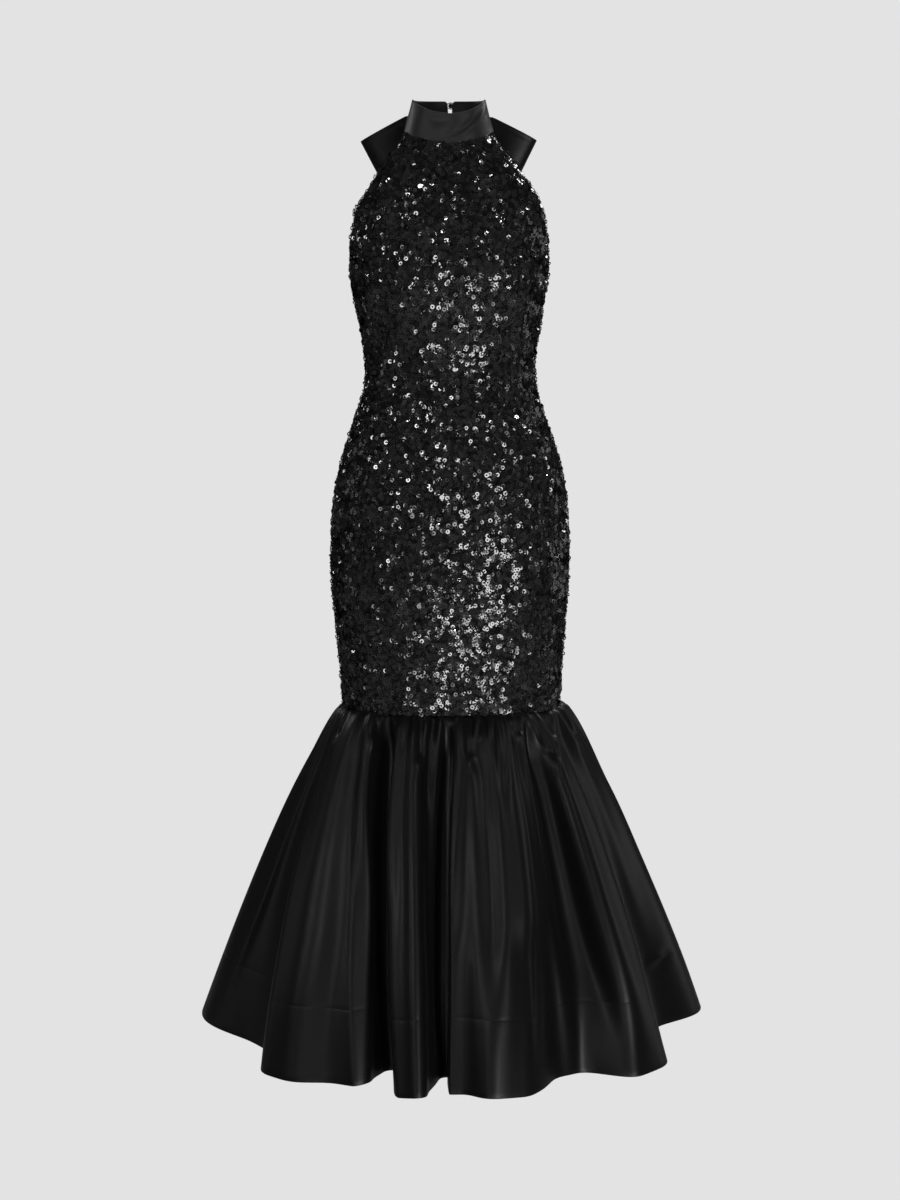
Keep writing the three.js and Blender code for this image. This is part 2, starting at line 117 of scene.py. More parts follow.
# Soft dents in the collar: degrees round it, level from its top at 0 to its seam at 1, half width
# in degrees, half height on the level's scale, slant in degrees from top to seam, and how far it
# stands out or sinks.
COLLAR_DENTS = (
    (-16, 0.26, 16, 0.17, 22, -2.4), (30, 0.42, 9, 0.32, 93, -2.4), (46, 0.42, 9, 0.32, 93, 1.6),
    (-52, 0.50, 14, 0.50, 22, 0.7), (100, 0.40, 18, 0.40, 22, -0.8),
    (-110, 0.60, 20, 0.40, 22, 0.7), (150, 0.50, 14, 0.40, 22, 0.6),
)
# The covered button turned about its axis: radius, and how far out, from its back to its crown.
BUTTON_PROFILE = (
    (0.0, -1.25), (2.2, -1.25), (3.0, -0.7), (3.2, 0.0), (2.9, 0.6), (2.0, 1.05), (1.0, 1.28),
    (0.0, 1.33),
)
BUTTON_LOOP = {"reach": 4.1, "turn": 135, "tail": 3.6, "cord": 0.6, "sunk": 0.7}

BOW = {
    "height": -2, "knot_depth": 75, "loop_depth": 88, "start": 9, "pinch": 13,
    "spread_from": 15, "spread_by": 46, "puff": 8, "pinch_gap": 2.6, "cloth": 1.6,
    "knot_wide": 12.4, "knot_tall": 15.5, "knot_thick": 10.2,
}
BOW_STITCH = {"deep": 0.5, "inset": 6, "wide": 1.5}
BOW_LOOPS = (
    {"name": "bow_loop_left", "side": LEFT, "length": 115, "half_width": 47.5, "droop": 28},
    {"name": "bow_loop_right", "side": RIGHT, "length": 112, "half_width": 44.5, "droop": 26.5},
)

# The flounce's main folds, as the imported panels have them: each ridge or valley's angle at the
# seam and at the hem, its reach at the hem and the angle over which it keeps that reach.
FOLD_COLUMNS = ("seam", "hem", "reach", "flat")
FOLDS = (
    (-96, -92, 351, 6),
    (-79, -56, 300, 3),
    (-67, -39.5, 356, 3.2),
    (-53, -23.5, 331, 2.2),
    (-43, -16.4, 262, 0.8),
    (-24, -8.8, 353, 2.2),
    (-2, -1.2, 276, 0.3),
    (8, 1.3, 336, 1.6),
    (30, 12.5, 356, 4),
    (48, 30, 308, 3),
    (60, 46, 365, 4.5),
    (72, 68, 294, 4),
    (96, 97, 358, 7),
    (112, 117, 300, 3),
    (126, 133, 356, 5),
    (142, 150, 276, 2),
    (158, 161, 350, 3.5),
    (172, 173, 290, 2),
    (187, 186, 352, 4),
    (203, 203, 268, 1.5),
    (220, 219, 355, 6),
    (240, 242, 304, 3.5),
    (264, 268, 351, 6),
)
SIDE_SEAM_FOLD, LAST_FOLD = 12, len(FOLDS) - 1
FLOUNCE_TOP, FLOUNCE_HEM = -788.3, -1226
FLOUNCE_DEPTH = FLOUNCE_TOP - FLOUNCE_HEM
FLARE_POWER, SWING_POWER = 0.78, 0.6
# How much of a row of the fold table each corner of the hem is rounded over, to either side.
FOLD_SOFTNESS = 0.09
# A slow ripple over the cloth. It dies away over the rows given as still before the left side
# seam, where the fold table's two ends meet.
RIPPLE = {"across": 60, "down": 260, "scale": 90, "seed": 7, "still": 0.5}
FLOUNCE_CLOTH = 1.6
HEM_ALLOWANCE = 86
HEM_STITCH = {"deep": 0.25, "wide": 1.6}


# ------------ small helpers

def columns(rows, names):
    """A table's columns by name, as arrays."""
    return {name: np.array([row[i] for row in rows], float) for i, name in enumerate(names)}


def ease(x):
    """0 up to x = 0, 1 from x = 1, and smooth between."""
    x = np.clip(x, 0, 1)
    return x * x * (3 - 2 * x)


def mix(a, b, x):
    return a + (b - a) * x


def smooth_at(values, place):
    """A smooth curve through evenly numbered values, at places from 0 to 1."""
    values = np.asarray(values, float)
    last = len(values) - 1
    x = np.clip(place, 0, 1) * last
    i = np.minimum(x.astype(int), last - 1)
    t = x - i
    before, here = values[np.maximum(i - 1, 0)], values[i]
    there, after = values[i + 1], values[np.minimum(i + 2, last)]
    slope_here, slope_there = (there - before) / 2, (after - here) / 2
    return (
        here * (2 * t**3 - 3 * t**2 + 1)
        + slope_here * (t**3 - 2 * t**2 + t)
        + there * (3 * t**2 - 2 * t**3)
        + slope_there * (t**3 - t**2)
    )


def hill(distance, half_width):
    """1 on a line, falling off smoothly on both sides of it."""
    return np.exp(-((distance / half_width) ** 2))


def unit(v):
    return v / np.maximum(np.linalg.norm(v, axis=-1, keepdims=True), 1e-12)


def waves(x, y, scale, seed, count=24):
    """Smooth noise in about -1 to 1 over a plane, with features of about the given scale."""
    draw = np.random.default_rng(seed)
    total = np.zeros(np.broadcast(x, y).shape)
    for _ in range(count):
        turn, phase = draw.uniform(0, 2 * math.pi, 2)
        pace = 2 * math.pi / (scale * draw.uniform(0.7, 1.8))
        total += np.sin(pace * (x * math.cos(turn) + y * math.sin(turn)) + phase)
    return total / math.sqrt(count / 2) / 2


def surface_frame(point_at, u, v, step=1e-3):
    """Points of a surface, its outward normals and its two directions, at arrays u and v."""
    here = point_at(u, v)
    u0, u1 = np.clip(u - step, 0, 1), np.clip(u + step, 0, 1)
    v0, v1 = np.clip(v - step, 0, 1), np.clip(v + step, 0, 1)
    along_u = unit(point_at(u1, v) - point_at(u0, v))
    along_v = unit(point_at(u, v1) - point_at(u, v0))
    return here, unit(np.cross(along_v, along_u)), along_u, along_v


def mesh_object(name, points, faces, materials, smooth=True):
    """A mesh object from points in millimetres and faces that all have the same corner count."""
    points = np.asarray(points, float) * MM
    faces = np.asarray(faces, np.int32)
    mesh = bpy.data.meshes.new(name)
    corners = faces.shape[1]
    mesh.vertices.add(len(points))
    mesh.vertices.foreach_set("co", points.ravel())
    mesh.loops.add(faces.size)
    mesh.loops.foreach_set("vertex_index", faces.ravel())
    mesh.polygons.add(len(faces))
    mesh.polygons.foreach_set("loop_start", np.arange(len(faces), dtype=np.int32) * corners)
    mesh.polygons.foreach_set("loop_total", np.full(len(faces), corners, np.int32))
    mesh.update(calc_edges=True)
    mesh.validate()
    mesh.polygons.foreach_set("use_smooth", np.full(len(mesh.polygons), smooth))
    for material in materials:
        mesh.materials.append(material)
    piece = bpy.data.objects.new(name, mesh)
    bpy.context.scene.collection.objects.link(piece)
    return piece


def edge_profile(places, length, cloth):
    """Half thickness of a sheet along one direction: rounded off at both free edges."""
    from_edge = np.minimum(places, 1 - places) * length
    rounded = 1 - np.clip(from_edge / (cloth / 2), 0, 1)
    return np.sqrt(np.clip(1 - rounded**2, 0, 1))


def edged(places, length, cloth):
    """Places from 0 to 1 with extra ones by both ends, so that an edge can be rounded."""
    near = cloth / 2 / length * np.array([0.12, 0.5, 1.0])
    inner = places[(places > near[-1] * 1.5) & (places < 1 - near[-1] * 1.5)]
    return np.concatenate(([0], near, inner, 1 - near[::-1], [1]))


def cloth_shell(name, point_at, us, vs, size, cloth, materials):
    """A closed thin shell round a middle surface, with rounded edges. size is the sheet's
    rough width and height in millimetres, and point_at gives its outer face."""
    us, vs = edged(us, size[0], cloth), edged(vs, size[1], cloth)
    u, v = np.meshgrid(us, vs)
    points, normals, _, _ = surface_frame(point_at, u, v)
    profile = np.minimum(edge_profile(u, size[0], cloth), edge_profile(v, size[1], cloth))
    half = (cloth / 2 * profile)[..., None]
    middle = points - normals * cloth / 2
    outer, inner = middle + normals * half, middle - normals * half
    height, width = u.shape
    index = np.arange(height * width).reshape(height, width)
    behind = index + height * width
    behind[0], behind[-1] = index[0], index[-1]
    behind[:, 0], behind[:, -1] = index[:, 0], index[:, -1]

    def quads(grid):
        a, b, c, d = grid[:-1, :-1], grid[1:, :-1], grid[1:, 1:], grid[:-1, 1:]
        return np.stack([a, b, c, d], -1).reshape(-1, 4)

    faces = np.concatenate([quads(index), quads(behind)[:, ::-1]])
    points = np.concatenate([outer.reshape(-1, 3), inner.reshape(-1, 3)])
    used = np.unique(faces)
    renumber = np.zeros(len(points), np.int32)
    renumber[used] = np.arange(len(used))
    return mesh_object(name, points[used], renumber[faces], materials)


def ring_quads(starts, sides):
    """Quads from each ring of points, its first one numbered in starts, to the ring after it."""
    starts, here = starts[:, None], np.arange(sides)[None, :]
    low, high = starts + here, starts + (here + 1) % sides
    return np.stack([low, high, high + sides, low + sides], -1).reshape(-1, 4)


def sweep(name, path, outward, radii, sides, materials):
    """A closed cord or flat strip along a path: radii are across it and along outward."""
    path, outward = np.asarray(path, float), np.asarray(outward, float)
    along = unit(np.gradient(path, axis=0))
    across = unit(np.cross(outward, along))
    face = unit(np.cross(along, across))
    turn = np.linspace(0, 2 * math.pi, sides, endpoint=False)
    ends = np.ones(len(path))
    ends[0] = ends[-1] = 0.35
    ring = (
        across[:, None] * (np.cos(turn)[None, :, None] * radii[0])
        + face[:, None] * (np.sin(turn)[None, :, None] * radii[1])
    ) * ends[:, None, None]
    points = (path[:, None] + ring).reshape(-1, 3)
    walls = ring_quads(np.arange(len(path) - 1) * sides, sides)
    caps = []
    last = (len(path) - 1) * sides
    for k in range(1, sides - 1, 2):
        caps.append((0, min(k + 2, sides - 1), k + 1, k))
        caps.append((last, last + k, last + k + 1, last + min(k + 2, sides - 1)))
    return mesh_object(name, points, np.concatenate([walls, caps]), materials)


def finish_piece(piece, slot, *nodes):
    """A finished piece rides on the dress's one body, and stands for the nodes given."""
    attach(piece, "root")
    if nodes:
        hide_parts(*nodes)
    return piece


# ------------ camera, light and stage

CAMERA = {"sensor": 36, "lens": 56.52, "back": 2.6, "height": -0.367, "down": 6.06}
BACKGROUND = 0.768
ROOM_LIGHT, CLUTTER_SPAN = (0.0, 0.04), (0.36, 0.66)
LIGHTS_AIM = (0, 0, -0.55)
# Softboxes: name, azimuth, elevation, distance, width and height in metres, power in watts.
LIGHTS = (
    ("key", 27, -4, 3.0, (0.66, 0.95), 22),
    ("low_key", 12, -15, 2.9, (0.6, 0.4), 9),
    ("low_right", 28, -18, 2.9, (0.7, 0.4), 7),
    ("middle", 5, -4, 3.2, (0.18, 0.9), 2.5),
    ("left_strip", -13, -4, 3.2, (0.2, 0.9), 3.5),
    ("front_high", -24, 26, 3.0, (0.24, 0.5), 7),
    ("left_high", -56, 20, 3.0, (0.2, 0.5), 5),
    ("right_high", 40, 22, 3.0, (0.2, 0.5), 1.2),
    ("upper", -6, 50, 2.8, (0.1, 0.16), 3),
    ("upper_left", -64, 44, 2.8, (0.1, 0.14), 4),
    ("upper_right", 52, 44, 2.8, (0.1, 0.14), 5),
    ("right_side", 108, 8, 3.0, (0.9, 2.4), 6),
    ("left_side", -96, 6, 3.0, (0.5, 1.6), 2),
    ("back_key", 133, 40, 3.2, (0.4, 0.9), 14),
    ("back_fill", -132, 26, 3.2, (0.5, 0.9), 6),
    ("back_top", 176, 58, 3.0, (0.4, 0.4), 7),
)


def make_camera():
    data = bpy.data.cameras.new("camera")
    data.sensor_width = CAMERA["sensor"]
    data.lens = CAMERA["lens"]
    data.dof.use_dof = False
    camera = bpy.data.objects.new("camera", data)
    camera.location = (0, -CAMERA["back"], CAMERA["height"])
    camera.rotation_euler = (math.radians(90 - CAMERA["down"]), 0, 0)
    bpy.context.scene.collection.objects.link(camera)
    bpy.context.scene.camera = camera


def softbox(name, azimuth, elevation, distance, size, power):
    """An area light that faces the middle of the dress, azimuth 0 being straight in front."""
    data = bpy.data.lights.new(name, "AREA")
    data.shape = "RECTANGLE"
    data.size, data.size_y = size
    data.energy = power
    light = bpy.data.objects.new(name, data)
    a, e = math.radians(azimuth), math.radians(elevation)
    aim = np.array(LIGHTS_AIM)
    away = np.array([math.sin(a) * math.cos(e), -math.cos(a) * math.cos(e), math.sin(e)])
    light.location = aim + away * distance
    light.rotation_euler = (math.radians(90) - e, 0, a)
    light.visible_camera = False
    bpy.context.scene.collection.objects.link(light)


def camera_sees(nodes, links, seen, otherwise, output):
    """The camera sees one shader, and every other ray meets the other."""
    path = nodes.new("ShaderNodeLightPath")
    choice = nodes.new("ShaderNodeMixShader")
    links.new(path.outputs["Is Camera Ray"], choice.inputs["Fac"])
    links.new(otherwise.outputs[0], choice.inputs[1])
    links.new(seen.outputs[0], choice.inputs[2])
    links.new(choice.outputs[0], output.inputs["Surface"])


def make_light():
    """A dim, uneven room, a plain background for the camera alone, and the softboxes."""
    world = bpy.data.worlds.new("studio")
    world.use_nodes = True
    nodes, links = world.node_tree.nodes, world.node_tree.links
    nodes.clear()
    output = nodes.new("ShaderNodeOutputWorld")
    seen = nodes.new("ShaderNodeBackground")
    seen.inputs["Color"].default_value = (BACKGROUND, BACKGROUND, BACKGROUND, 1)
    room = nodes.new("ShaderNodeBackground")
    place = nodes.new("ShaderNodeTexCoord").outputs["Generated"]
    clutter = add_noise(nodes, links, place, 3.4, detail=2)
    links.new(ramp(nodes, links, clutter, *ROOM_LIGHT, CLUTTER_SPAN), room.inputs["Strength"])
    camera_sees(nodes, links, seen, room, output)
    bpy.context.scene.world = world
    bpy.context.scene.view_settings.view_transform = "Standard"
    for light in LIGHTS:
        softbox(*light)


def make_stage():
    """A plain pale floor below the hem, the same tone as the background behind it."""
    floor_drop, reach, sides = 260, 9000, 64
    turn = np.linspace(0, 2 * math.pi, sides, endpoint=False)
    height = FLOUNCE_HEM - floor_drop
    rim = np.stack([np.cos(turn) * reach, np.sin(turn) * reach, np.full(sides, height)], -1)
    points = np.concatenate([rim, [[0, 0, height]]])
    faces = [(sides, k, (k + 1) % sides) for k in range(sides)]
    material = bpy.data.materials.new("stage_pale")
    material.use_nodes = True
    nodes, links = material.node_tree.nodes, material.node_tree.links
    nodes.clear()
    output = nodes.new("ShaderNodeOutputMaterial")
    seen = nodes.new("ShaderNodeEmission")
    seen.inputs["Color"].default_value = (BACKGROUND, BACKGROUND, BACKGROUND, 1)
    matte = nodes.new("ShaderNodeBsdfDiffuse")
    matte.inputs["Color"].default_value = (0.45, 0.45, 0.45, 1)
    camera_sees(nodes, links, seen, matte, output)
    floor = mesh_object("stage_floor", points, faces, [material], smooth=False)


# ------------ materials

# The share of a sequin's reach, from its hole to its rim, over which its colour and reflection
# are darkened: painted shade, for the shadow its neighbours cast on its edge.
RIM_SHADE_SPAN = (0.84, 0.93)


def new_material(name, colour, roughness):
    material = bpy.data.materials.new(name)
    material.use_nodes = True
    shader = material.node_tree.nodes["Principled BSDF"]
    shader.inputs["Base Color"].default_value = (*colour, 1)
    shader.inputs["Roughness"].default_value = roughness
    return material, shader, material.node_tree.nodes, material.node_tree.links


def add_noise(nodes, links, coordinates, scale, stretch=(1, 1, 1), detail=3):
    mapping = nodes.new("ShaderNodeMapping")
    mapping.inputs["Scale"].default_value = stretch
    links.new(coordinates, mapping.inputs["Vector"])
    noise = nodes.new("ShaderNodeTexNoise")
    noise.inputs["Scale"].default_value = scale
    noise.inputs["Detail"].default_value = detail
    links.new(mapping.outputs[0], noise.inputs["Vector"])
    return noise.outputs["Fac"]


def ramp(nodes, links, value, low, high, span=(0, 1)):
    """Maps a value within span onto low to high."""
    scaled = nodes.new("ShaderNodeMapRange")
    scaled.inputs["From Min"].default_value = span[0]
    scaled.inputs["From Max"].default_value = span[1]
    scaled.inputs["To Min"].default_value = low
    scaled.inputs["To Max"].default_value = high
    links.new(value, scaled.inputs["Value"])
    return scaled.outputs[0]


def bump(nodes, links, heights, shader):
    """Chains bumps: heights are (height socket, strength, distance in metres)."""
    previous = None
    for height, strength, distance in heights:
        node = nodes.new("ShaderNodeBump")
        node.inputs["Strength"].default_value = strength
        node.inputs["Distance"].default_value = distance
        links.new(height, node.inputs["Height"])
        if previous:
            links.new(previous.outputs[0], node.inputs["Normal"])
        previous = node
    links.new(previous.outputs[0], shader.inputs["Normal"])


def satin_material(name, colour=(0.0042, 0.0041, 0.0044), roughness=0.36):
    """Heavy black satin: a soft, slightly uneven sheen over a fine twill of threads."""
    material, shader, nodes, links = new_material(name, colour, roughness)
    shader.inputs["Specular IOR Level"].default_value = 0.25
    shader.inputs["Sheen Weight"].default_value = 0.02
    shader.inputs["Sheen Roughness"].default_value = 0.4
    place = nodes.new("ShaderNodeTexCoord").outputs["Object"]
    slub = add_noise(nodes, links, place, 90, (1, 1, 0.12))
    cloudy = add_noise(nodes, links, place, 14, (1, 1, 0.5))
    uneven = ramp(nodes, links, cloudy, roughness - 0.04, roughness + 0.06)
    links.new(uneven, shader.inputs["Roughness"])
    threads = nodes.new("ShaderNodeTexWave")
    threads.wave_type, threads.bands_direction = "BANDS", "DIAGONAL"
    threads.inputs["Scale"].default_value = 420
    threads.inputs["Distortion"].default_value = 1.5
    links.new(place, threads.inputs["Vector"])
    bump(nodes, links, [(slub, 0.10, 0.0006), (threads.outputs["Fac"], 0.05, 0.0002)], shader)
    return material


def ground_material():
    """The knitted ground under the sequins: matt, nearly black."""
    material, shader, nodes, links = new_material("sequin_ground", (0.006, 0.006, 0.0065), 0.75)
    shader.inputs["Specular IOR Level"].default_value = 0.25
    place = nodes.new("ShaderNodeTexCoord").outputs["Object"]
    knit = add_noise(nodes, links, place, 700)
    bump(nodes, links, [(knit, 0.6, 0.0005)], shader)
    return material


def sequin_material():
    """Black plastic film: glossy, each sequin a little different, which its tone says, and
    darkened by painted shade along the rim, where its reach is 1, for the shadow of the sequins
    over it."""
    material, shader, nodes, links = new_material("sequin_film", (0.010, 0.010, 0.011), 0.16)
    tone, reach = nodes.new("ShaderNodeAttribute"), nodes.new("ShaderNodeAttribute")
    tone.attribute_name, reach.attribute_name = "tone", "reach"
    links.new(ramp(nodes, links, tone.outputs["Fac"], 0.04, 0.14), shader.inputs["Roughness"])
    colours = nodes.new("ShaderNodeValToRGB")
    colours.color_ramp.elements[0].color = (0.007, 0.007, 0.0075, 1)
    colours.color_ramp.elements[1].color = (0.040, 0.040, 0.042, 1)
    links.new(tone.outputs["Fac"], colours.inputs["Fac"])
    # Painted shade: colour and reflection fall to a tenth towards each sequin's rim.
    painted_rim_shade = ramp(nodes, links, reach.outputs["Fac"], 1.0, 0.1, RIM_SHADE_SPAN)
    scaled = nodes.new("ShaderNodeVectorMath")
    scaled.operation = "SCALE"
    links.new(colours.outputs["Color"], scaled.inputs[0])
    links.new(painted_rim_shade, scaled.inputs["Scale"])
    links.new(scaled.outputs[0], shader.inputs["Base Color"])
    tint = nodes.new("ShaderNodeCombineColor")
    for channel in ("Red", "Green", "Blue"):
        links.new(painted_rim_shade, tint.inputs[channel])
    links.new(tint.outputs[0], shader.inputs["Specular Tint"])
    shader.inputs["Specular IOR Level"].default_value = 0.8
    return material


# ------------ the sheath

def sheath_rows(facing):
    """One face's sections from the collar to the flounce, by column."""
    halter = columns(HALTER_FRONT if facing == FRONT else HALTER_BACK, SHEATH_COLUMNS)
    body = columns(BODY, ("height", "left", "right", "front", "back"))
    zero = np.zeros(len(BODY))
    below = {
        "height": body["height"], "dip": zero, "left": body["left"], "right": body["right"],
        "depth": body["front" if facing == FRONT else "back"], "edge": zero,
    }
    return {name: np.concatenate([halter[name], below[name]]) for name in SHEATH_COLUMNS}


SHEATH = {FRONT: sheath_rows(FRONT), BACK: sheath_rows(BACK)}
LAST_ROW = len(SHEATH[FRONT]["height"]) - 1


def section_reach(angle, side, depth):
    """How far a rounded section with these half axes reaches at an angle."""
    across = np.abs(np.sin(angle) / side) ** SECTION_POWER
    along = np.abs(np.cos(angle) / depth) ** SECTION_POWER
    return (across + along) ** (-1 / SECTION_POWER)


def sheath_point(facing, degrees, place):
    """A point of the sheath's outer face: degrees from the centre of that face, and place
    from 0 at the collar seam to 1 at the flounce seam."""
    row = {name: smooth_at(SHEATH[facing][name], place) for name in SHEATH_COLUMNS}
    edge = np.maximum(row["edge"], 0)
    angle = np.radians(degrees)
    side = np.where(degrees < 0, row["left"], row["right"])
    reach = section_reach(angle, side, row["depth"] - edge)
    share = (edge + reach * np.clip(np.cos(angle), 0, 1)) / row["depth"]
    height = row["height"] + row["dip"] * share**DIP_POWER
    if facing == FRONT:
        over = hill(height - BUST["height"], BUST["tall"])
        cup = hill(np.abs(degrees) - BUST["angle"], BUST["wide"])
        reach = reach + BUST["out"] * over * cup
    depth = edge + reach * np.cos(angle) - SEAM_LAP
    across = reach * np.sin(angle)
    collar_width = np.where(degrees < 0, COLLAR["base_left"], COLLAR["base_right"])
    by_collar = np.sign(across) * collar_width * np.sqrt(np.clip(1 - share**2, 0, 1))
    across = mix(by_collar, across, ease(place / 0.05))
    return np.stack([across, facing * depth, height], -1)


def front_surface(u, v):
    return sheath_point(FRONT, mix(-90, 90, u), v)


def back_left_surface(u, v):
    return sheath_point(BACK, mix(0, -90, u), v) + np.array([SEAM_LAP, 0, 0])


def back_right_surface(u, v):
    return sheath_point(BACK, mix(90, 0, u), v) - np.array([SEAM_LAP, 0, 0])


def make_sheath(ground):
    made = []
    for name, surface, steps_round, width in (
        ("front_panel", front_surface, 56, 400),
        ("back_panel_left", back_left_surface, 28, 210),
        ("back_panel_right", back_right_surface, 28, 210),
    ):
        def sunk_surface(u, v, surface=surface):
            points, normals, _, _ = surface_frame(surface, u, v)
            return points - normals * SHEATH_CLOTH["sunk"]

        piece = cloth_shell(
            name + "_cloth", sunk_surface, np.linspace(0, 1, steps_round),
            np.linspace(0, 1, SHEATH_CLOTH["rows"]), (width, SHEATH_CLOTH["long"]),
            SHEATH_CLOTH["cloth"], [ground],
        )
        finish_piece(piece, "sequin_cloth", name)
        made.append(piece)
    return made


# ------------ sequins

SEQUIN = {"radius": 3.2, "hole": 1.3, "cup": 0.05, "pitch": 4.25, "sides": 7, "lift": (0.4, 2.3)}
# How sequins lean, in degrees: whole patches together, each about patch_scale wide, then each one
# on its own, about half of them closely sewn and the rest slack or loose.
TILT = {
    "patch": (14, 6), "patch_scale": 27, "close": 3, "slack": 15, "loose": 38,
    "slack_share": 0.30, "loose_share": 0.22,
}


def sequin_places(surface, u_range, v_range, seed):
    """Where sequins are sewn: rows across the cloth, evenly spaced along each row."""
    draw = np.random.default_rng(seed)
    pitch = SEQUIN["pitch"]
    v_fine = np.linspace(*v_range, 500)
    middle = surface(np.full(500, np.mean(u_range)), v_fine)
    down = np.concatenate([[0], np.cumsum(np.linalg.norm(np.diff(middle, axis=0), axis=1))])
    row_count = int(down[-1] / (pitch * math.sqrt(3) / 2))
    row_v = np.interp((np.arange(row_count) + 0.5) / row_count * down[-1], down, v_fine)
    u_fine = np.linspace(*u_range, 160)
    found_u, found_v = [], []
    for number, v in enumerate(row_v):
        line = surface(u_fine, np.full(160, v))
        across = np.concatenate([[0], np.cumsum(np.linalg.norm(np.diff(line, axis=0), axis=1))])
        count = max(2, int(across[-1] / pitch))
        spots = (np.arange(count) + 0.25 + 0.5 * (number % 2)) / count * across[-1]
        spots = spots + draw.normal(0, 0.22 * pitch, count)
        found_u.append(np.interp(np.clip(spots, 0, across[-1]), across, u_fine))
        wander = draw.normal(0, 0.2 * pitch, count) / down[-1] * (v_range[1] - v_range[0])
        found_v.append(np.clip(v + wander, *v_range))
    return np.concatenate(found_u), np.concatenate(found_v), draw


def make_sequins(name, surface, u_range, v_range, seed, material):
    """One field of sequins in one mesh, each leaning, lifted and toned by chance."""
    u, v, draw = sequin_places(surface, u_range, v_range, seed)
    points, normals, along, down = surface_frame(surface, u, v)
    count, sides = len(u), SEQUIN["sides"]
    patches, scale = np.radians(TILT["patch"]), TILT["patch_scale"]
    luck = draw.uniform(0, 1, count)
    kind = np.where(luck < TILT["loose_share"], TILT["loose"], TILT["close"])
    kind = np.where(luck > 1 - TILT["slack_share"], TILT["slack"], kind)
    single = np.radians(kind)
    lean_x, lean_z = (
        patch * waves(points[:, 0], points[:, 2], scale, seed + part)
        + draw.normal(0, 1, count) * single
        for part, patch in enumerate(patches)
    )
    facing = unit(normals + along * lean_x[:, None] + down * lean_z[:, None])
    first = unit(np.cross(facing, down))
    second = np.cross(facing, first)
    radius = SEQUIN["radius"] * draw.uniform(0.93, 1.06, count)
    lift = draw.uniform(*SEQUIN["lift"], count)
    centre = points + normals * lift[:, None]
    spin = draw.uniform(0, 2 * math.pi, count)
    turn = spin[:, None] + np.linspace(0, 2 * math.pi, sides, endpoint=False)[None, :]
    spoke = first[:, None] * np.cos(turn)[..., None] + second[:, None] * np.sin(turn)[..., None]
    rim = centre[:, None] + spoke * radius[:, None, None]
    cup = (facing * draw.uniform(0, SEQUIN["cup"], count)[:, None])[:, None]
    hole = centre[:, None] + spoke * SEQUIN["hole"] - cup
    vertices = np.concatenate([rim, hole], 1).reshape(-1, 3)
    faces = ring_quads(np.arange(count) * sides * 2, sides)
    piece = mesh_object(name, vertices, faces, [material], smooth=False)
    # reach is 1 at the rim and 0 at the hole; the film's material paints shade along the rim from
    # it.
    reach = np.tile(np.repeat([1.0, 0.0], sides), count)
    tone = np.repeat(draw.uniform(0, 1, count), sides * 2)
    for label, values in (("tone", tone), ("reach", reach)):
        attribute = piece.data.attributes.new(label, "FLOAT", "POINT")
        attribute.data.foreach_set("value", values.astype(np.float32))
    finish_piece(piece, "sequin_cloth")
    return piece


# ------------ the flounce

# Secondary folds: the cloth line they follow at the seam, half way and at the hem, in rows of the
# fold table, how far they stand out or sink, their half width, and where they begin and end.
# CREASE_FADE is how far ahead of those places each starts to come in or go out, and over how much.
CREASES = (
    (0.74, 0.62, 0.45, 4, 8, 0.10, 0.85),
    (1.35, 1.30, 1.25, -4, 14, 0.05, 0.60),
    (2.45, 2.60, 2.50, 6, 22, 0.00, 0.80),
    (2.95, 3.05, 2.70, -5, 14, 0.10, 0.80),
    (3.25, 3.60, 3.48, 9, 10, 0.00, 1.20),
    (4.12, 4.16, 4.02, -16, 11, 0.03, 0.98),
    (4.50, 4.66, 4.80, 5, 9, 0.00, 0.50),
    (5.06, 5.28, 5.33, 9, 10, 0.00, 1.20),
    (5.55, 5.60, 5.62, -5, 9, 0.14, 0.80),
    (5.77, 5.78, 5.80, 3, 5, 0.00, 0.62),
    (5.98, 5.94, 5.92, -16, 10, 0.04, 0.95),
    (7.00, 6.42, 6.34, 5, 8, 0.00, 0.62),
    (7.22, 7.27, 7.34, 5, 13, 0.00, 0.90),
    (7.48, 7.58, 7.62, -5, 9, 0.10, 0.75),
    (7.68, 7.84, 7.82, 6, 11, 0.00, 0.80),
    (8.02, 8.15, 8.05, 6, 12, 0.00, 0.75),
    (7.50, 7.50, 7.68, 5, 26, 0.60, 1.20),
    (8.46, 8.46, 8.36, -3, 8, 0.10, 0.95),
    (8.30, 8.28, 8.24, -6, 22, 0.58, 1.20),
    (8.74, 8.78, 8.99, 9, 13, 0.00, 0.95),
    (9.12, 9.28, 9.58, -16, 19, 0.06, 0.90),
    (9.46, 9.64, 9.98, 8, 18, 0.00, 0.92),
    (10.55, 10.5, 10.6, -5, 14, 0.02, 0.60),
    (11.2, 11.3, 11.35, 5, 16, 0.05, 0.75),
    (12.4, 12.5, 12.5, 6, 17, 0.00, 0.70),
    (13.5, 13.3, 13.4, 7, 16, 0.00, 0.85),
    (14.4, 14.5, 14.6, -6, 14, 0.02, 0.60),
    (15.4, 15.5, 15.3, 8, 13, 0.00, 0.75),
    (16.5, 16.6, 16.6, 6, 15, 0.05, 0.60),
    (17.4, 17.3, 17.5, -7, 13, 0.00, 0.65),
    (18.4, 18.6, 18.3, 8, 14, 0.00, 0.80),
    (19.5, 19.4, 19.6, 6, 15, 0.00, 0.55),
    (20.4, 20.6, 20.5, 7, 15, 0.02, 0.90),
    (21.4, 21.3, 21.3, -6, 15, 0.00, 0.60),
)
CREASE_FADE = {"ahead_in": 0.05, "in": 0.12, "ahead_out": 0.22, "out": 0.36}
CREASE_WIDTH = {"seam": 0.95, "widens": 0.55}
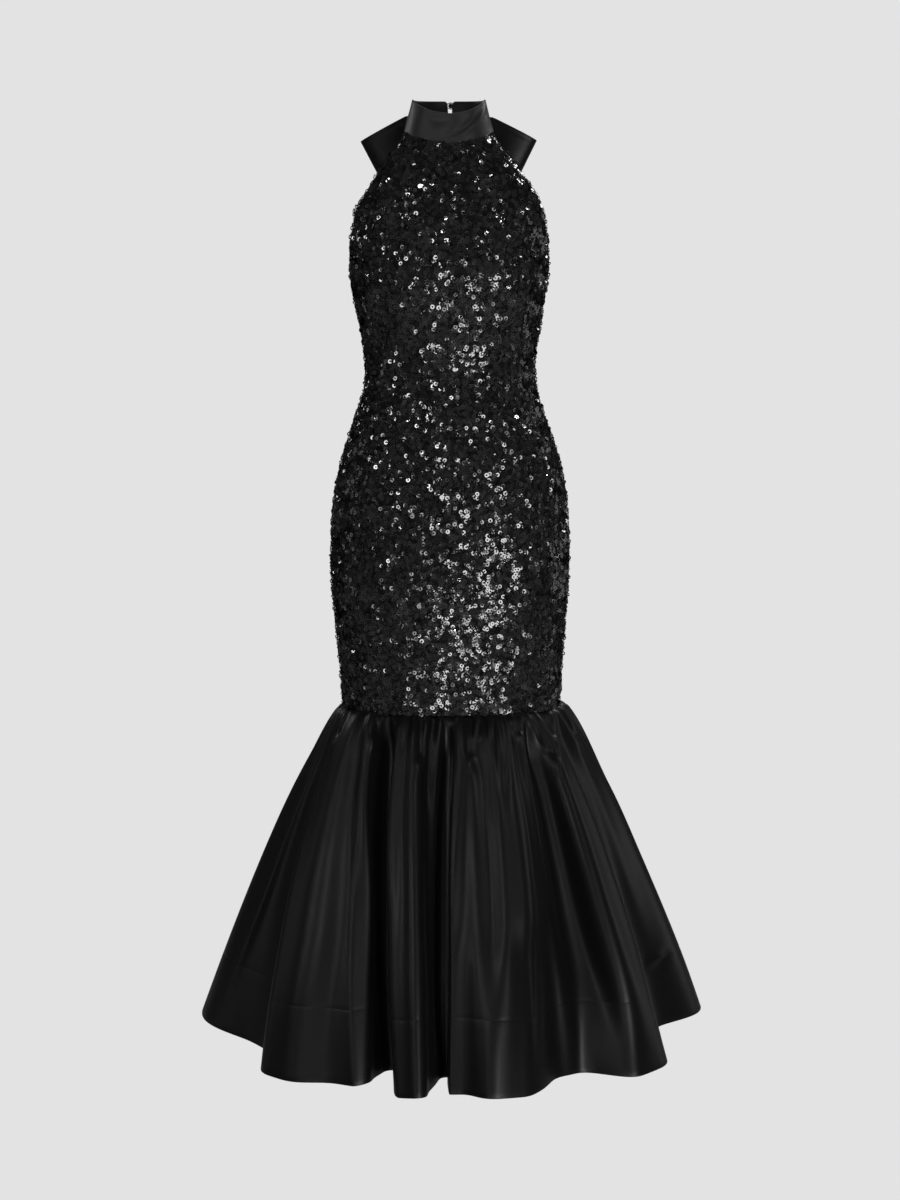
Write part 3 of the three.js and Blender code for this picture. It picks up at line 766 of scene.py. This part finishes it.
# The short gathers under the seam, at the front: the fold-table line each starts and ends on,
# how far it stands out or sinks, its half width, and how far down the flounce it runs. Those
# elsewhere are like them.
FRONT_GATHERS = (
    (0.25, 0.30, 4.6, 7, 0.20), (0.62, 0.68, 4.8, 7, 0.26), (1.05, 1.00, 4.4, 7, 0.18),
    (1.55, 1.50, 5.0, 7, 0.16), (2.05, 2.00, 5.0, 7, 0.22), (2.55, 2.62, 5.0, 11, 0.30),
    (3.20, 3.60, 6.0, 6, 0.16), (3.70, 3.58, 5.5, 5, 0.10), (3.88, 4.04, -5.0, 5, 0.30),
    (4.20, 4.45, 5.0, 5, 0.13), (4.62, 4.75, 5.5, 6, 0.30), (4.85, 4.98, -4.0, 5, 0.16),
    (5.00, 5.07, 7.0, 5, 0.18), (5.32, 5.42, 7.0, 4.5, 0.16), (5.46, 5.48, 4.5, 4, 0.07),
    (5.52, 5.56, -6.0, 5, 0.32), (5.77, 5.90, 6.0, 4.5, 0.30), (6.05, 6.17, 4.5, 6, 0.16),
    (6.95, 6.55, 7.0, 6, 0.22), (7.10, 6.86, -5.0, 4, 0.14), (7.50, 7.04, 7.0, 5, 0.15),
    (7.54, 7.26, 5.0, 4, 0.13), (7.66, 7.62, -4.0, 4, 0.30), (7.94, 7.48, 7.0, 6, 0.16),
    (8.04, 7.80, -5.0, 5, 0.30), (8.28, 8.16, 7.0, 5.5, 0.26), (8.54, 8.56, 5.0, 4, 0.08),
    (8.93, 8.84, 5.0, 4, 0.08), (8.72, 8.66, 5.0, 5.5, 0.28), (8.98, 8.85, -5.0, 5, 0.30),
    (9.14, 9.40, 8.0, 7, 0.24), (9.62, 9.92, 7.0, 6, 0.18), (10.7, 10.4, 5.0, 6, 0.14),
    (11.1, 11.2, 5.0, 8, 0.26), (11.6, 11.5, 4.4, 7, 0.16),
)
# Pockets where two gathers meet below the seam: line at the top and at the lip, depth, half
# width, and how far down the lip that closes them is.
POCKETS = (
    (1.82, 1.80, 5, 6, 0.09), (3.48, 3.55, 6, 5, 0.08), (5.18, 5.28, 7, 5.5, 0.13),
    (7.38, 7.16, 6, 5.5, 0.125), (8.73, 8.66, 5, 4.5, 0.065), (9.52, 9.66, 6, 7, 0.14),
    (10.2, 10.0, 6, 5, 0.08), (11.4, 11.3, 5, 6, 0.10), (13.4, 13.5, 6, 6, 0.12),
    (15.3, 15.2, 6, 6, 0.09), (17.6, 17.7, 7, 6, 0.13), (19.4, 19.3, 6, 6, 0.10),
    (21.2, 21.3, 6, 6, 0.12),
)
# Small creases across a fold: its line, how far down, half length, half width, slope in degrees
# and how far it stands out.
DENTS = (
    (11.40, 0.795, 24, 5, -18, 4.5), (14.7, 0.66, 24, 6, 14, 3.0), (19.6, 0.71, 28, 5, -10, 3.0),
)
GATHER = {
    "spacing": 15, "out": 7.0, "seed": 41, "from": 94, "to": 264, "drawn_in": 2.6,
    "drawn_over": 0.35, "strength": 1.15, "wider": 1.2, "widens": 1.8,
}
POCKET_LIP = {"strength": 0.6, "place": 1.1, "half": 0.16}


def gather_table():
    """Every short gather along the seam, with like ones added where none are listed."""
    seam = columns(FOLDS, FOLD_COLUMNS)["seam"]
    lines = np.arange(len(FOLDS))
    draw = np.random.default_rng(GATHER["seed"])
    _, left, right, _, back = BODY[-1]
    gathers = list(FRONT_GATHERS)
    turn = GATHER["from"]
    while turn < GATHER["to"]:
        out, wide = GATHER["out"] * draw.uniform(0.7, 1.3), draw.uniform(5.0, 7.0)
        line, end = np.interp([turn, turn + draw.uniform(-3, 3)], seam, lines)
        gathers.append((line, end, out, wide, draw.uniform(0.10, 0.30)))
        around = mix(back, (left + right) / 2, abs(math.sin(math.radians(turn))))
        turn += math.degrees(GATHER["spacing"] * draw.uniform(0.75, 1.3) / around)
    return gathers


def hem_reach(fold):
    """How far the hem stands out at a line of the fold table."""
    table = columns(FOLDS, FOLD_COLUMNS)
    fold = fold % LAST_FOLD
    index = fold.astype(int)
    width = table["hem"][index + 1] - table["hem"][index]
    flat_here, flat_next = table["flat"][index], table["flat"][index + 1]
    rise = (fold - index - flat_here / width) / (1 - (flat_here + flat_next) / width)
    return mix(table["reach"][index], table["reach"][index + 1], ease(rise))


def flounce_core(fold, down):
    """The flounce with its main folds only. fold runs along the fold table's rows."""
    table = columns(FOLDS, FOLD_COLUMNS)
    index = np.minimum(fold.astype(int), LAST_FOLD - 1)
    part = fold - index
    soft = FOLD_SOFTNESS
    reach = (hem_reach(fold - soft) + hem_reach(fold) + hem_reach(fold + soft)) / 3
    seam_angle = np.radians(mix(table["seam"][index], table["seam"][index + 1], part))
    hem_angle = np.radians(mix(table["hem"][index], table["hem"][index + 1], part))
    _, left, right, front, back = BODY[-1]
    side = np.where(np.sin(seam_angle) < 0, left, right)
    depth = np.where(np.cos(seam_angle) > 0, front, back)
    seam_reach = section_reach(seam_angle, side, depth)
    angle = mix(seam_angle, hem_angle, down**SWING_POWER)
    distance = mix(seam_reach, reach, down**FLARE_POWER)
    height = mix(FLOUNCE_TOP, FLOUNCE_HEM, down)
    return np.stack([distance * np.sin(angle), -distance * np.cos(angle), height], -1)


GATHERS = gather_table()


def cloth_runs(levels=60, steps_a_row=120):
    """Millimetres of cloth round the flounce from the fold table's first line, at even levels
    from the seam to the hem and even steps along the table."""
    steps = LAST_FOLD * steps_a_row
    fold, down = np.meshgrid(np.linspace(0, LAST_FOLD, steps + 1), np.linspace(0, 1, levels))
    lengths = np.linalg.norm(np.diff(flounce_core(fold, down), axis=1), axis=-1)
    return np.concatenate([np.zeros((levels, 1)), np.cumsum(lengths, axis=1)], axis=1)


RUNS = cloth_runs()


def run_at(fold, down):
    """The cloth's run from the fold table's first line to the line given."""
    levels, steps = RUNS.shape
    x, y = fold / LAST_FOLD * (steps - 1), np.clip(down, 0, 1) * (levels - 1)
    i, j = np.clip(x.astype(int), 0, steps - 2), np.minimum(y.astype(int), levels - 2)
    s, t = x - i, y - j
    above, below = mix(RUNS[j, i], RUNS[j, i + 1], s), mix(RUNS[j + 1, i], RUNS[j + 1, i + 1], s)
    return mix(above, below, t)


def flounce_relief(fold, down):
    """How far the secondary folds and the gathers move the cloth outwards, in millimetres."""
    total = np.zeros(fold.shape)
    here, whole = run_at(fold, down), run_at(np.full(down.shape, float(LAST_FOLD)), down)

    def from_line(line):
        return (here - run_at(line, down) + whole / 2) % whole - whole / 2

    for *path, out, wide, start, stop in CREASES:
        away = from_line(smooth_at(path, down))
        comes = ease((down - start + CREASE_FADE["ahead_in"]) / CREASE_FADE["in"])
        fade = comes * (1 - ease((down - stop + CREASE_FADE["ahead_out"]) / CREASE_FADE["out"]))
        spread = wide * (CREASE_WIDTH["seam"] + CREASE_WIDTH["widens"] * down)
        total += out * hill(away, spread) * fade
    for first, last, out, wide, length in GATHERS:
        away = from_line(mix(first, last, np.clip(down / length, 0, 1)))
        fade = (1 - ease(down / length)) * ease(0.45 + down / 0.04)
        spread = wide * (GATHER["wider"] + GATHER["widens"] * down)
        total += GATHER["strength"] * out * hill(away, spread) * fade
    for first, last, deep, wide, length in POCKETS:
        away = from_line(mix(first, last, np.clip(down / length, 0, 1)))
        hollow = (1 - ease((down / length - 0.7) / 0.3)) * ease(0.3 + down / 0.04)
        lip = hill(down / length - POCKET_LIP["place"], POCKET_LIP["half"])
        lip = POCKET_LIP["strength"] * lip
        total += deep * hill(away, 1.25 * wide) * (lip - hollow)
    for line, level, long, wide, slope, out in DENTS:
        along = from_line(np.full(down.shape, line))
        drop = (down - level) * FLOUNCE_DEPTH
        lean = math.radians(slope)
        ahead = along * math.cos(lean) + drop * math.sin(lean)
        aside = (drop * math.cos(lean) - along * math.sin(lean)) / wide
        total += out * hill(ahead, long) * (hill(aside, 1) - 0.6 * hill(aside - 2, 1))
    return total - GATHER["drawn_in"] * (1 - ease(down / GATHER["drawn_over"]))


def flounce_surface(first, last, facing):
    """The flounce between two rows of the fold table, with every fold."""
    def core_at(u, v):
        return flounce_core(mix(first, last, u), v)

    def point_at(u, v):
        _, normals, _, _ = surface_frame(core_at, u, np.clip(v, 0.01, 1))
        fold = mix(first, last, u)
        to_join = np.minimum(fold, LAST_FOLD - fold)
        place = (fold * RIPPLE["across"], v * RIPPLE["down"])
        ripple = waves(*place, RIPPLE["scale"], RIPPLE["seed"])
        ripple = ripple * ease(v * 2) * ease(to_join / RIPPLE["still"])
        from_stitch = (1 - v) * FLOUNCE_DEPTH - HEM_ALLOWANCE
        stitch = -HEM_STITCH["deep"] * hill(from_stitch, HEM_STITCH["wide"])
        relief = flounce_relief(fold, v) + ripple + stitch
        lap = np.array([0, -facing * SEAM_LAP, 0])
        return core_at(u, v) + normals * relief[..., None] * 0.9 + lap
    return point_at


def fold_spacing(surface, count):
    """Places round a flounce panel, spaced by the cloth's own length at the hem and the seam."""
    fine = np.linspace(0, 1, 6000)
    steps = 0
    for level, weight in ((1.0, 1.0), (0.5, 0.6), (0.05, 2.4)):
        line = surface(fine, np.full(6000, level))
        steps = steps + weight * np.linalg.norm(np.diff(line, axis=0), axis=1)
    run = np.concatenate([[0], np.cumsum(steps)])
    return np.interp(np.linspace(0, run[-1], count), run, fine)


def make_flounce(satin):
    line = 1 - HEM_ALLOWANCE / FLOUNCE_DEPTH
    by_line = line + np.array([-0.007, -0.0035, 0, 0.0035, 0.007])
    levels = np.unique(np.concatenate([np.linspace(0, 1, 82) ** 1.35, by_line]))
    made = []
    for name, first, last, facing in (
        ("flounce_front", 0, SIDE_SEAM_FOLD, FRONT),
        ("flounce_back", SIDE_SEAM_FOLD, LAST_FOLD, BACK),
    ):
        surface = flounce_surface(first, last, facing)
        around = fold_spacing(surface, 440)
        piece = cloth_shell(
            name + "_satin", surface, around, levels, (1500, 500), FLOUNCE_CLOTH, [satin]
        )
        finish_piece(piece, "satin", name)
        made.append(piece)
    return made


# ------------ collar and its fastening

def collar_point(u, v):
    """A point of the collar's outer face: u runs from the slit round the left side and the
    front to the slit again, and v down from the top edge to the seam."""
    up = 1 - v
    turn = mix(-180, 180, u)
    depth = mix(COLLAR["base_depth"], COLLAR["top_depth"], up)
    slit = np.degrees(np.arcsin(mix(COLLAR["slit_base"], COLLAR["slit_top"], up) / depth))
    degrees = turn * (1 - slit / 180)
    angle = np.radians(degrees)
    left = mix(COLLAR["base_left"], COLLAR["top_left"], up)
    right = mix(COLLAR["base_right"], COLLAR["top_right"], up)
    forward = np.clip(np.cos(angle), 0, 1) ** DIP_POWER
    backward = np.clip(-np.cos(angle), 0, 1) ** DIP_POWER
    base = COLLAR["base_height"] + COLLAR["base_dip"] * forward + COLLAR["base_rise"] * backward
    corner = COLLAR["corner"]
    to_slit = depth * np.radians(180 - slit - np.abs(degrees))
    inside = np.clip(corner - to_slit, 0, corner)
    rounded = corner - np.sqrt(corner**2 - inside**2)
    top = COLLAR["top_height"] + COLLAR["top_dip"] * forward + COLLAR["top_rise"] * backward
    width = np.where(degrees < 0, left, right)
    height = mix(base, top - rounded, up)
    return np.stack([width * np.sin(angle), -depth * np.cos(angle), height], -1)


def collar_surface(u, v):
    """The collar with its soft dents."""
    points, normals, _, _ = surface_frame(collar_point, u, v)
    degrees = mix(-180, 180, u)
    relief = 0.5 * waves(degrees, v * 38, 34, 5)
    for middle, level, wide, tall, slant, out in COLLAR_DENTS:
        away = degrees - middle + (v - level) * slant
        relief = relief + out * np.exp(-((away / wide) ** 2) - ((v - level) / tall) ** 2)
    still = ease(v / 0.06) * ease((1 - v) / 0.1)
    return points + normals * (relief * still)[..., None]


def make_collar(trim):
    around = np.linspace(0, 1, 150)
    ends = np.array([0.002, 0.004, 0.007, 0.011, 0.015])
    around = np.unique(np.concatenate([around, ends, 1 - ends]))
    # Its paler satin is painted light: the collar is the dress's black satin, caught in more
    # light.
    piece = cloth_shell(
        "collar_satin", collar_surface, around, np.linspace(0, 1, 18), (370, 40),
        COLLAR["cloth"], [trim],
    )
    finish_piece(piece, "satin", "collar")
    return piece


def make_fastening(trim):
    """The covered button at the back of the collar, and the cord loop that goes round it."""
    low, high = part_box("collar_button")
    centre = np.array([(low[k] + high[k]) / 2 for k in range(3)]) / MM
    lean = math.atan2(COLLAR["base_depth"] - COLLAR["top_depth"], 40)
    outward = np.array([0, math.cos(lean), math.sin(lean)])
    up = np.array([0, -math.sin(lean), math.cos(lean)])
    side = np.array([1.0, 0, 0])
    turns = 28
    points = []
    for radius, out in BUTTON_PROFILE:
        for k in range(turns):
            a = 2 * math.pi * k / turns
            spoke = side * math.cos(a) + up * math.sin(a)
            points.append(centre + outward * out + radius * spoke)
    faces = ring_quads(np.arange(len(BUTTON_PROFILE) - 1) * turns, turns)
    button = mesh_object("collar_button_covered", points, faces, [trim])
    merge_poles(button)
    finish_piece(button, "trim", "collar_button")
    turn, thick = BUTTON_LOOP["turn"], BUTTON_LOOP["cord"]
    angles = np.radians(np.linspace(-turn, turn, 40))
    spokes = np.cos(angles)[:, None] * side + np.sin(angles)[:, None] * up
    loop = centre[None, :] + BUTTON_LOOP["reach"] * spokes
    tail = np.linspace(0, 1, 6)[1:, None] * np.array([-BUTTON_LOOP["tail"], 0, 0])
    path = np.concatenate([(loop[0] + tail)[::-1], loop, loop[-1] + tail])
    path = path - outward * BUTTON_LOOP["sunk"]
    outwards = np.tile(outward, (len(path), 1))
    cord = sweep("collar_loop_cord", path, outwards, (thick, thick), 8, [trim])
    finish_piece(cord, "trim", "collar_loop")
    return [button, cord]


def merge_poles(piece):
    """Joins points that lie together, such as the poles of a turned shape."""
    shape = bmesh.new()
    shape.from_mesh(piece.data)
    bmesh.ops.remove_doubles(shape, verts=shape.verts, dist=1e-6)
    bmesh.ops.recalc_face_normals(shape, faces=shape.faces)
    shape.to_mesh(piece.data)
    shape.free()


def make_bindings(trim):
    """A narrow satin edge down the front and up the back of each armhole."""
    made = []
    count = BINDING["points"]
    for side, name in ((LEFT, "left"), (RIGHT, "right")):
        top = np.linspace(0, UNDERARM_ROW / LAST_ROW, count)
        degrees = np.full(count, 90.0 * side)
        down = sheath_point(FRONT, degrees, top)
        up = sheath_point(BACK, degrees, top)[::-1]
        path = np.concatenate([down[:-1], up[1:]])
        outward = np.tile([float(side), 0, 0], (len(path), 1))
        along = unit(np.gradient(path, axis=0))
        hole = unit(np.cross(outward, along)) * side
        path = path + hole * BINDING["inset"] - outward * BINDING["sunk"]
        radii = (BINDING["across"], BINDING["out"])
        strip = sweep("armhole_binding_" + name + "_satin", path, outward, radii, 10, [trim])
        finish_piece(strip, "trim", "armhole_binding_" + name)
        made.append(strip)
    return made


# ------------ the bow

def bow_surface(loop):
    slope = math.radians(loop["droop"])
    side = loop["side"]

    def point_at(u, v):
        u = u if side == LEFT else 1 - u
        turn = mix(-1, 1, v)
        out = mix(BOW["start"], loop["length"], np.cos(turn * math.pi / 2))
        opened = ease((out - BOW["spread_from"]) / (BOW["spread_by"] - BOW["spread_from"]))
        across = mix(-1, 1, u)
        spread = mix(BOW["pinch"], loop["half_width"], opened)
        lean = slope * opened
        apart = BOW["pinch_gap"] * turn + BOW["puff"] * np.sin(turn * math.pi)
        gathers = 1.6 * np.sin(across * 9.5 + 0.6 * side) * (1 - ease((out - 14) / 62))
        swell = 1.3 * waves(across * 40, out, 60, 11 + side) * ease((out - 25) / 40)
        near = np.where(turn < 0, -1, 1)
        from_stitch = (1 - np.abs(across)) * spread - BOW_STITCH["inset"]
        stitch = -BOW_STITCH["deep"] * hill(from_stitch, BOW_STITCH["wide"])
        apart = apart + near * (gathers + swell + stitch) * ease(1.2 * np.abs(turn)) * 0.8
        depth = mix(BOW["knot_depth"], BOW["loop_depth"], opened)
        stretch = across * spread
        return np.stack([
            side * (out * math.cos(slope) + stretch * np.sin(lean)),
            depth + apart,
            BOW["height"] - (out - 15) * math.sin(slope) + stretch * np.cos(lean),
        ], -1)
    return point_at


def knot_surface(u, v):
    """The knot: a band wrapped round the pinch, with soft pleats along it."""
    turn = mix(0, 2 * math.pi, v)
    across = mix(-1, 1, u)
    waist = 1 - 0.10 * (1 - across**2)
    pleats = 0.9 * np.sin(across * 7.2 + 0.5) + 0.5 * np.sin(across * 3.1 + turn)
    thick = (BOW["knot_thick"] + 0.3 * pleats) * waist
    tall = (BOW["knot_tall"] + 0.6 * pleats) * waist
    square = 0.75
    c, s = np.cos(turn), np.sin(turn)
    return np.stack([
        across * BOW["knot_wide"],
        BOW["knot_depth"] + thick * np.sign(c) * np.abs(c) ** square,
        BOW["height"] + tall * np.sign(s) * np.abs(s) ** square,
    ], -1)


def make_bow(satin):
    made = []
    for loop in BOW_LOOPS:
        piece = cloth_shell(
            loop["name"] + "_satin", bow_surface(loop), np.linspace(0, 1, 72),
            np.linspace(0, 1, 74), (90, 230), BOW["cloth"], [satin],
        )
        finish_piece(piece, "satin", loop["name"])
        made.append(piece)
    knot = cloth_shell(
        "bow_knot_satin", lambda u, v: knot_surface(u, np.clip(v, 0.0005, 0.9995)),
        np.linspace(0, 1, 26), np.linspace(0, 1, 72), (26, 82), BOW["cloth"], [satin],
    )
    finish_piece(knot, "satin", "bow_knot")
    made.append(knot)
    return made


# ------------ putting it together

make_camera()
make_light()
make_stage()
satin = satin_material("black_satin")
# A paler copy of the black satin for the collar, its button, its loop and the armhole bindings. On
# the collar the paler colour is painted light, for the brighter light the collar catches.
trim = satin_material("black_satin_painted_paler", (0.022, 0.0212, 0.021), 0.42)
ground = ground_material()
film = sequin_material()

panels = make_sheath(ground)
SEQUIN_FIELDS = (
    ("sequins_front_left", front_surface, (0.008, 0.5), (0.004, 0.999), 101),
    ("sequins_front_right", front_surface, (0.5, 0.992), (0.004, 0.999), 202),
    ("sequins_back_left", back_left_surface, (0.02, 0.985), (0.004, 0.999), 303),
    ("sequins_back_right", back_right_surface, (0.015, 0.98), (0.004, 0.999), 404),
)
sequins = [make_sequins(*field, film) for field in SEQUIN_FIELDS]
flounces = make_flounce(satin)
collar, fastening = make_collar(trim), make_fastening(trim)
bindings = make_bindings(trim)
bows = make_bow(satin)
